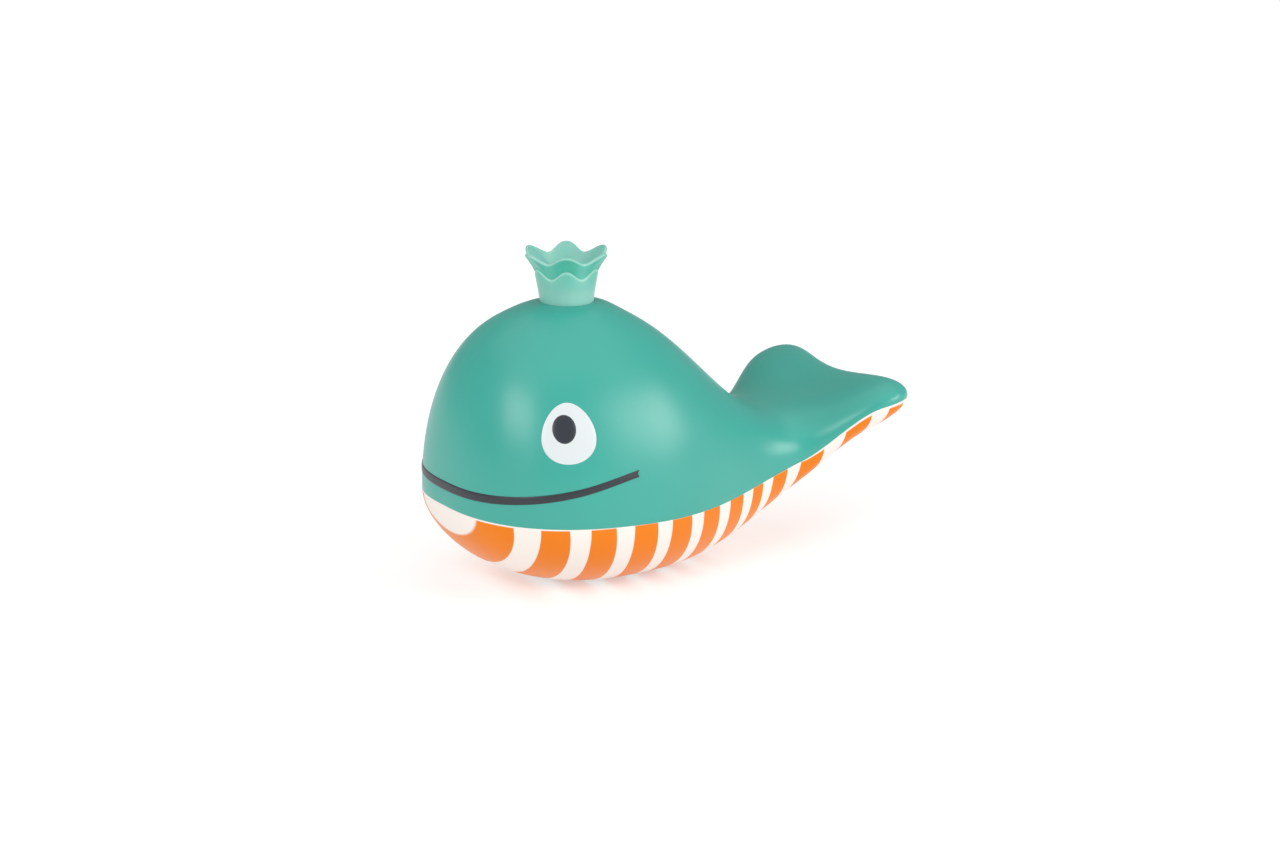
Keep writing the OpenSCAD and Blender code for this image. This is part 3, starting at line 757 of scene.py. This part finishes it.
def eye_frame():
    """Middle of the eye on the skin, and its directions towards the tail, upwards and outwards."""
    x = np.array(EYE_X)
    rise = (EYE_Z - seam_z(x)) / (top_z(x) - seam_z(x))
    middle = np.array([EYE_X, -half_w(x) * np.sqrt(1 - rise ** 2), EYE_Z])
    probe = PROBE * np.eye(3)
    out = unit(field(middle + probe) - field(middle - probe))
    level = unit(np.cross([0, 0, 1], out))
    plumb = np.cross(out, level)
    lean = np.radians(EYE_LEAN)
    aft = level * np.cos(lean) - plumb * np.sin(lean)
    up = plumb * np.cos(lean) + level * np.sin(lean)
    return middle, aft, up, out


eye_middle, eye_aft, eye_up, eye_out = eye_frame()


def oval(width, height, taper=0.0):
    """An ellipse whose width also shrinks upwards, by the taper times the sine."""
    turn = np.linspace(0, 2 * np.pi, EYE_STEPS, endpoint=False)
    across = width / 2 * np.cos(turn) * (1 - taper * np.sin(turn))
    return np.stack([across, height / 2 * np.sin(turn)], -1)


egg = oval(EYE_W, EYE_H, EYE_TAPER)
dot = oval(PUPIL_W, PUPIL_H)


def button(edge, centre, depth, lift, flip):
    """A plug whose face follows the skin, raised by lift, with a rounded rim and a flat back.

    Rings are shares of the outline. The rise is the lift times a quarter superellipse of the share,
    let down so that the rim itself sits a little below the skin."""
    share = np.sin(np.pi / 2 * np.linspace(0, 1, EYE_RINGS))[1:]
    flat = centre + share[:, None, None] * edge
    mid = np.array(centre)[None]

    def in_eye(q, height):
        """Points from places on the eye's plane and heights above it."""
        return eye_middle + q[..., :1] * eye_aft + q[..., 1:] * eye_up + height[..., None] * eye_out

    def on_skin(q):
        """Heights of the skin over places on the eye's plane."""
        return reach(in_eye(q, np.zeros(q.shape[:-1])), eye_out, -EYE_H / 4, EYE_H / 4)

    rise = lift * ((1 + RIM_SINK) * quarter(share, RIM_ROUND) - RIM_SINK)
    face = in_eye(flat, on_skin(flat) + rise[:, None])
    back = in_eye(centre + edge, np.full(len(edge), -depth))
    top = in_eye(mid, lift + on_skin(mid))[0]
    bottom = in_eye(mid, np.array([-depth]))[0]
    mirror = np.array([1, -1 if flip else 1, 1])
    rows = np.concatenate([face, back[None]])
    return surface(in_frame(rows) * mirror, in_frame(top) * mirror, in_frame(bottom) * mirror)


for side_name, flip in (("left", False), ("right", True)):
    piece(f"eye_disc_{side_name}", button(egg, (0, 0), EYE_DEPTH, PROUD, flip), eye_white,
          "whale", "eye_white", f"eye_white_{side_name}")
    piece(f"pupil_disc_{side_name}", button(dot, (-PUPIL_FORE, PUPIL_UP), PUPIL_DEPTH, 2 * PROUD, flip),
          slate_trim, "whale", "slate_trim", f"pupil_{side_name}")


def smile_strip():
    """The mouth: rays from an upright axis meet the skin, and their height is a power of the angle.

    Over the last fifth of the angle a square takes the rise back a little, so that the ends run
    straight. Across its width the strip stands out by a quarter superellipse, and its ends are cut a
    little hollow."""
    across = np.sin(np.pi / 2 * np.linspace(-1, 1, MOUTH_ROWS))
    along = np.linspace(-1, 1, MOUTH_STEPS)[:, None]
    angle = along * (MOUTH_ANGLE - MOUTH_END_CUT * (1 - across ** 2))
    width = MOUTH_W + (MOUTH_END_W - MOUTH_W) * np.abs(along)
    share = np.abs(angle) / MOUTH_ANGLE
    last_share = np.maximum(share - MOUTH_END_START, 0) / (1 - MOUTH_END_START)
    drop = MOUTH_END_DROP * last_share ** 2
    height = MOUTH_Z + MOUTH_RISE * share ** MOUTH_BEND - drop + across * width / 2
    start = np.stack([np.full(angle.shape, WIDE_X), 0 * angle, height], -1)
    turn = np.radians(angle)
    direction = np.stack([-np.cos(turn), -np.sin(turn), 0 * turn], -1)
    level = reach(start, direction, 0, HEAD_W)[..., None]
    rise = PROUD * ((STRIP_RISE + STRIP_SINK) * quarter(np.abs(across), STRIP_ROUND) - STRIP_SINK)
    face = start + (level + rise[:, None]) * direction
    back = start + (level - MOUTH_DEPTH) * direction
    rings = np.concatenate([face, back[:, ::-1]], 1)
    return surface(in_frame(rings), in_frame(rings[0].mean(0)), in_frame(rings[-1].mean(0)))


piece("smile_strip", smile_strip(), slate_trim, "whale", "slate_trim", "smile_line")


# Spout: profiles of radius, height, rise and lean of a crest, and painted shading, carried round the
# spout's axis
LOWER = (CUP_CREST_H, CUP_CREST_H * CUP_LEAN)
UPPER = (CREST_H, CREST_H * CREST_LEAN)
LEVEL = (0.0, 0.0)
# Painted shading: above 0 it mixes in painted shade, below 0 painted light
PLAIN = 0.0
PAINTED_SHADE = 1.0
PAINTED_LIGHT = -1.0
HALF_PAINTED_LIGHT = -0.2
INSIDE_PAINTED_LIGHT = -0.1
# Crests of the spout get painted shade and troughs painted light
CREST_PAINTED_SHADE = 0.3
# The cup's wall runs from painted light low down to painted shade under its lip
CUP_PAINTED_SHADING = -0.35
CUP_SHADING_GAIN = 0.75
CUP_SHADING_START = 0.2
CUP_SHADING_RANGE = 0.6


def rounded(profile):
    """A closed profile with each corner eased: a parabola from just before it to just after it."""
    before = np.roll(profile, 1, 0) - profile
    after = np.roll(profile, -1, 0) - profile
    t = np.linspace(0, 1, ROUND_STEPS)[None, :, None]

    def cut(v):
        """Points a little way along the sides v, and never past their middles."""
        size = np.hypot(v[:, 0], v[:, 1])[:, None]
        return profile + v * np.minimum(EDGE_ROUND / np.maximum(size, SMALLEST), MOST_ROUND)

    start, end = cut(before)[:, None], cut(after)[:, None]
    curve = (1 - t) ** 2 * start + 2 * t * (1 - t) * profile[:, None] + t ** 2 * end
    return curve.reshape(-1, profile.shape[1])


def turned(profile, base_z):
    """Carries a closed profile round the spout's axis: the surface and the painted shade and light of its
    points.

    Height and radius gain the rise and the lean times a cosine, and the painted shade is deeper where
    that is high, with painted light where it is low."""
    angle = np.linspace(0, 2 * np.pi, TURN_STEPS, endpoint=False)
    crest = np.cos(CRESTS * angle)
    r, z, rise, lean, tone = np.hsplit(profile, 5)
    radius = r + lean * crest
    rows = np.stack([
        BLOWHOLE_X + radius * np.cos(angle), radius * np.sin(angle), base_z + z + rise * crest], -1)
    return surface(in_frame(rows)), (tone + CREST_PAINTED_SHADE * crest * rise / CREST_H).ravel()


def wall(start, end, power, steps, share, low=LEVEL, high=LOWER, tone=PLAIN):
    """A wall from start to end, each radius and height: the radius grows as a power of the height.

    Its crests grow from low to high by the share, a function of the way from 0 to 1."""
    t = np.linspace(0, 1, steps)
    radius = start[0] + (end[0] - start[0]) * t ** power
    height = start[1] + (end[1] - start[1]) * t
    crests = np.outer(1 - share(t), low) + np.outer(share(t), high)
    return np.column_stack([radius, height, crests, np.broadcast_to(tone, steps)])


def lip(radius, height, crest, tone):
    """The round top of a tier's wall, half a turn from its outer to its inner side."""
    turn = np.linspace(0, np.pi, LIP_STEPS)
    r = TIER_WALL / 2
    across = np.column_stack([radius - r + r * np.cos(turn), height - r + r * np.sin(turn)])
    return np.column_stack([across, np.tile([*crest, tone], (LIP_STEPS, 1))])


def corners(*points, crest=LEVEL):
    """Corners of a profile, each radius and height, on one crest."""
    return np.array([[*point, *crest, PLAIN] for point in points])


crown_z = MOUND_Z - SEAT_DEPTH + FLANGE_T
lip_h = TIER_WALL / 2
nest = TIER_WALL + TIER_GAP
cup_share = np.linspace(0, 1, CUP_ROWS)
# Painted light low on the cup's wall, turning to painted shade under its lip
cup_tone = CUP_PAINTED_SHADING + CUP_SHADING_GAIN * ease((cup_share - CUP_SHADING_START) / CUP_SHADING_RANGE)
cup_wall = wall(
    (FOOT_R, 0.0), (CUP_R, CUP_H - lip_h), CUP_BEND, CUP_ROWS,
    lambda t: ease((t - CREST_START) / (1 - CREST_START)), tone=cup_tone)


def crown_cup():
    """Lower tier: plug with the seal's groove, foot, flared wall, round lip, floor and bore."""
    inside = (cup_wall - [TIER_WALL, 0, 0, 0, 0])[::-1]
    inside = inside[inside[:, 1] > CUP_FLOOR]
    plug = corners(
        (FOOT_R - TIER_WALL, CUP_FLOOR), (PLUG_BORE_R, CUP_FLOOR), (PLUG_BORE_R, -PLUG_LEN),
        (PLUG_R, -PLUG_LEN), (PLUG_R, -SEAL_DROP - SEAL_T), (SEAL_SEAT_R, -SEAL_DROP - SEAL_T),
        (SEAL_SEAT_R, -SEAL_DROP), (PLUG_R, -SEAL_DROP), (PLUG_R, 0))
    # The lower tier's lip gets painted light
    brim = lip(CUP_R, CUP_H, LOWER, PAINTED_LIGHT)
    return rounded(np.concatenate([cup_wall[:-1], brim, inside[1:], plug]))


def crown_flare():
    """Upper tier: stem, wall that follows the lower tier inside, then a flare over its lip."""
    floor = CUP_FLOOR + TIER_WALL
    height = cup_wall[:, 1]
    nested = cup_wall[(height > CUP_FLOOR) & (height < CUP_H - TIER_WALL)] - [nest, 0, 0, 0, 0]
    turn = np.radians(np.linspace(*LAP_ARC, LAP_STEPS))
    near = lip_h + LAP_GAP
    lap = np.column_stack([CUP_R - lip_h + near * np.cos(turn), CUP_H - lip_h + near * np.sin(turn)])
    over = corners((CUP_R - nest, CUP_H - LAP_DROP), *lap[:-1], crest=LOWER)
    rim = np.array([FLARE_R, FLARE_H - lip_h])
    # The flare's outer wall gets painted shade; its inside and the upper lip get painted light
    flare = wall(lap[-1], rim, FLARE_BEND, FLARE_ROWS, lambda t: t, LOWER, UPPER, PAINTED_SHADE)
    funnel = wall(
        (CUP_R - lip_h - TIER_WALL, CUP_H + FUNNEL_RISE), rim + [-TIER_WALL, TIER_WALL / 3],
        FLARE_BEND, FLARE_ROWS, lambda t: t, LOWER, UPPER, INSIDE_PAINTED_LIGHT)
    inside = np.concatenate([funnel[::-1], nested[::-1] - [TIER_WALL, 0, 0, 0, 0]])
    inside = inside[inside[:, 1] > floor]
    stem = corners(
        (FOOT_R - nest - TIER_WALL, floor), (STEM_BORE_R, floor), (STEM_BORE_R, CUP_FLOOR - STEM_LEN),
        (STEM_R, CUP_FLOOR - STEM_LEN), (STEM_R, CUP_FLOOR), (FOOT_R - nest, CUP_FLOOR))
    brim = lip(FLARE_R, FLARE_H, UPPER, HALF_PAINTED_LIGHT)
    return rounded(np.concatenate([nested, over, flare[:-1], brim, inside[1:], stem]))


for name, profile, node in (
        ("crown_lower_tier", crown_cup(), "crown_cup"),
        ("crown_upper_tier", crown_flare(), "crown_flare")):
    shape, tone = turned(profile, crown_z)
    piece(name, shape, mint_plastic, "spout", "mint_plastic", node, crease=CROWN_CREASE, tone=tone)

# Turned inner pieces keep their solids and get their finishes
for node, finish in {
    "neck_bush": neck_plastic, "seal_ring": seal_rubber, "foam_mesh": clear_plastic,
    "foam_head": clear_plastic, "dip_tube": clear_plastic,
}.items():
    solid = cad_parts[node].data
    solid.materials.clear()
    solid.materials.append(finish)

# Camera at the photograph's viewing angle, for an image of 1280 by 852, with distances in metres
IMAGE_W = 1280
IMAGE_H = 852
AIM = Vector((0, 0, 40)) * MM
AIM_PIXEL = (657.2, 430.3)
CAMERA_BEARING = -31.73
CAMERA_RISE = 15.0
CAMERA_DISTANCE = 0.9
PIXELS_PER_MM = 3.214
SENSOR_W = 36

# Floor and sky: the floor's glow is dimmer near the belly's level foot, a painted contact shadow and
# painted shade, with the foot given by place and half sizes in metres
FLOOR_HALF = 6.0
FLOOR_GLOW = 0.78
FOOT_PLACE = (-0.018, 0.0, 0.0)
FOOT_HALF = (0.019, 0.012, 1.0)
CONTACT_SHADOW_GLOW = 0.5
CONTACT_SHADOW_RANGE = (0.8, 2.4)
NEAR_SHADE_GLOW = 0.72
NEAR_SHADE_RANGE = (3, 80)
SKY_GLOW = 0.34


def away(bearing_deg, rise_deg, distance):
    """Offset at a bearing, 0 towards -Y and 90 towards +X, and a rise above the horizon."""
    b, r = np.radians((bearing_deg, rise_deg))
    return Vector((np.sin(b) * np.cos(r), -np.cos(b) * np.cos(r), np.sin(r))) * distance


def look_at(thing, place, target):
    """Puts a camera or lamp at a place, faces it to the target and adds it to the scene."""
    thing.location = place
    thing.rotation_euler = (target - place).to_track_quat("-Z", "Y").to_euler()
    bpy.context.scene.collection.objects.link(thing)


lens = bpy.data.cameras.new("camera")
lens.sensor_width = SENSOR_W
lens.lens = PIXELS_PER_MM / MM * CAMERA_DISTANCE / IMAGE_W * SENSOR_W
lens.shift_x = (IMAGE_W / 2 - AIM_PIXEL[0]) / IMAGE_W
lens.shift_y = (AIM_PIXEL[1] - IMAGE_H / 2) / IMAGE_W
camera = bpy.data.objects.new("camera", lens)
look_at(camera, AIM + away(CAMERA_BEARING, CAMERA_RISE, CAMERA_DISTANCE), AIM)
bpy.context.scene.camera = camera


def softbox(name, bearing_deg, rise_deg, distance, width, height, watts):
    """A rectangular area light that faces the toy."""
    lamp = bpy.data.lights.new(name, "AREA")
    lamp.shape = "RECTANGLE"
    lamp.size = width
    lamp.size_y = height
    lamp.energy = watts
    look_at(bpy.data.objects.new(name, lamp), AIM + away(bearing_deg, rise_deg, distance), AIM)


softbox("left_box", bearing_deg=-62, rise_deg=30, distance=1.1, width=0.66, height=0.42, watts=5.3)
softbox("right_box", bearing_deg=42, rise_deg=20.5, distance=1.1, width=0.57, height=0.45, watts=6.0)
softbox("top_box", bearing_deg=90, rise_deg=89.9, distance=1.5, width=2.4, height=2.4, watts=14.0)

sky = bpy.data.worlds.new("studio")
sky.use_nodes = True
sky.node_tree.nodes["Background"].inputs["Color"].default_value = (1, 1, 1, 1)
sky.node_tree.nodes["Background"].inputs["Strength"].default_value = SKY_GLOW
bpy.context.scene.world = sky
bpy.context.scene.view_settings.view_transform = "Standard"


def studio_floor():
    """A wide level sheet under the toy, lit from below like a light table, with painted shade near the
    toy.

    The glow follows the distance from the middle of the foot, counted in the foot's half sizes, and is
    dimmest under the foot as a painted contact shadow."""
    mesh = bpy.data.meshes.new("studio_floor")
    sheet = [(x * FLOOR_HALF, y * FLOOR_HALF, 0) for x, y in ((-1, -1), (1, -1), (1, 1), (-1, 1))]
    mesh.from_pydata(sheet, [], [(0, 1, 2, 3)])
    finish = Finish("studio_floor")
    vector = "ShaderNodeVectorMath"
    offset = finish.make(vector, {"operation": "SUBTRACT"}, {0: finish.place(), 1: FOOT_PLACE})
    share = finish.make(vector, {"operation": "DIVIDE"}, {0: offset, 1: FOOT_HALF})
    ring = finish.make(vector, {"operation": "LENGTH"}, {0: share}, 1)
    # Painted contact shadow under the foot, fading into painted shade around the toy
    near = finish.mix(shaded(GLOW, CONTACT_SHADOW_GLOW), shaded(GLOW, NEAR_SHADE_GLOW), ring.step(*CONTACT_SHADOW_RANGE))
    glow = finish.mix(near, GLOW, ring.step(*NEAR_SHADE_RANGE))
    mesh.materials.append(finish.shade(
        Base_Color=FLOOR, Roughness=0.75, Emission_Color=glow, Emission_Strength=FLOOR_GLOW))
    floor = bpy.data.objects.new("studio_floor", mesh)
    bpy.context.scene.collection.objects.link(floor)
    return floor


studio_floor()
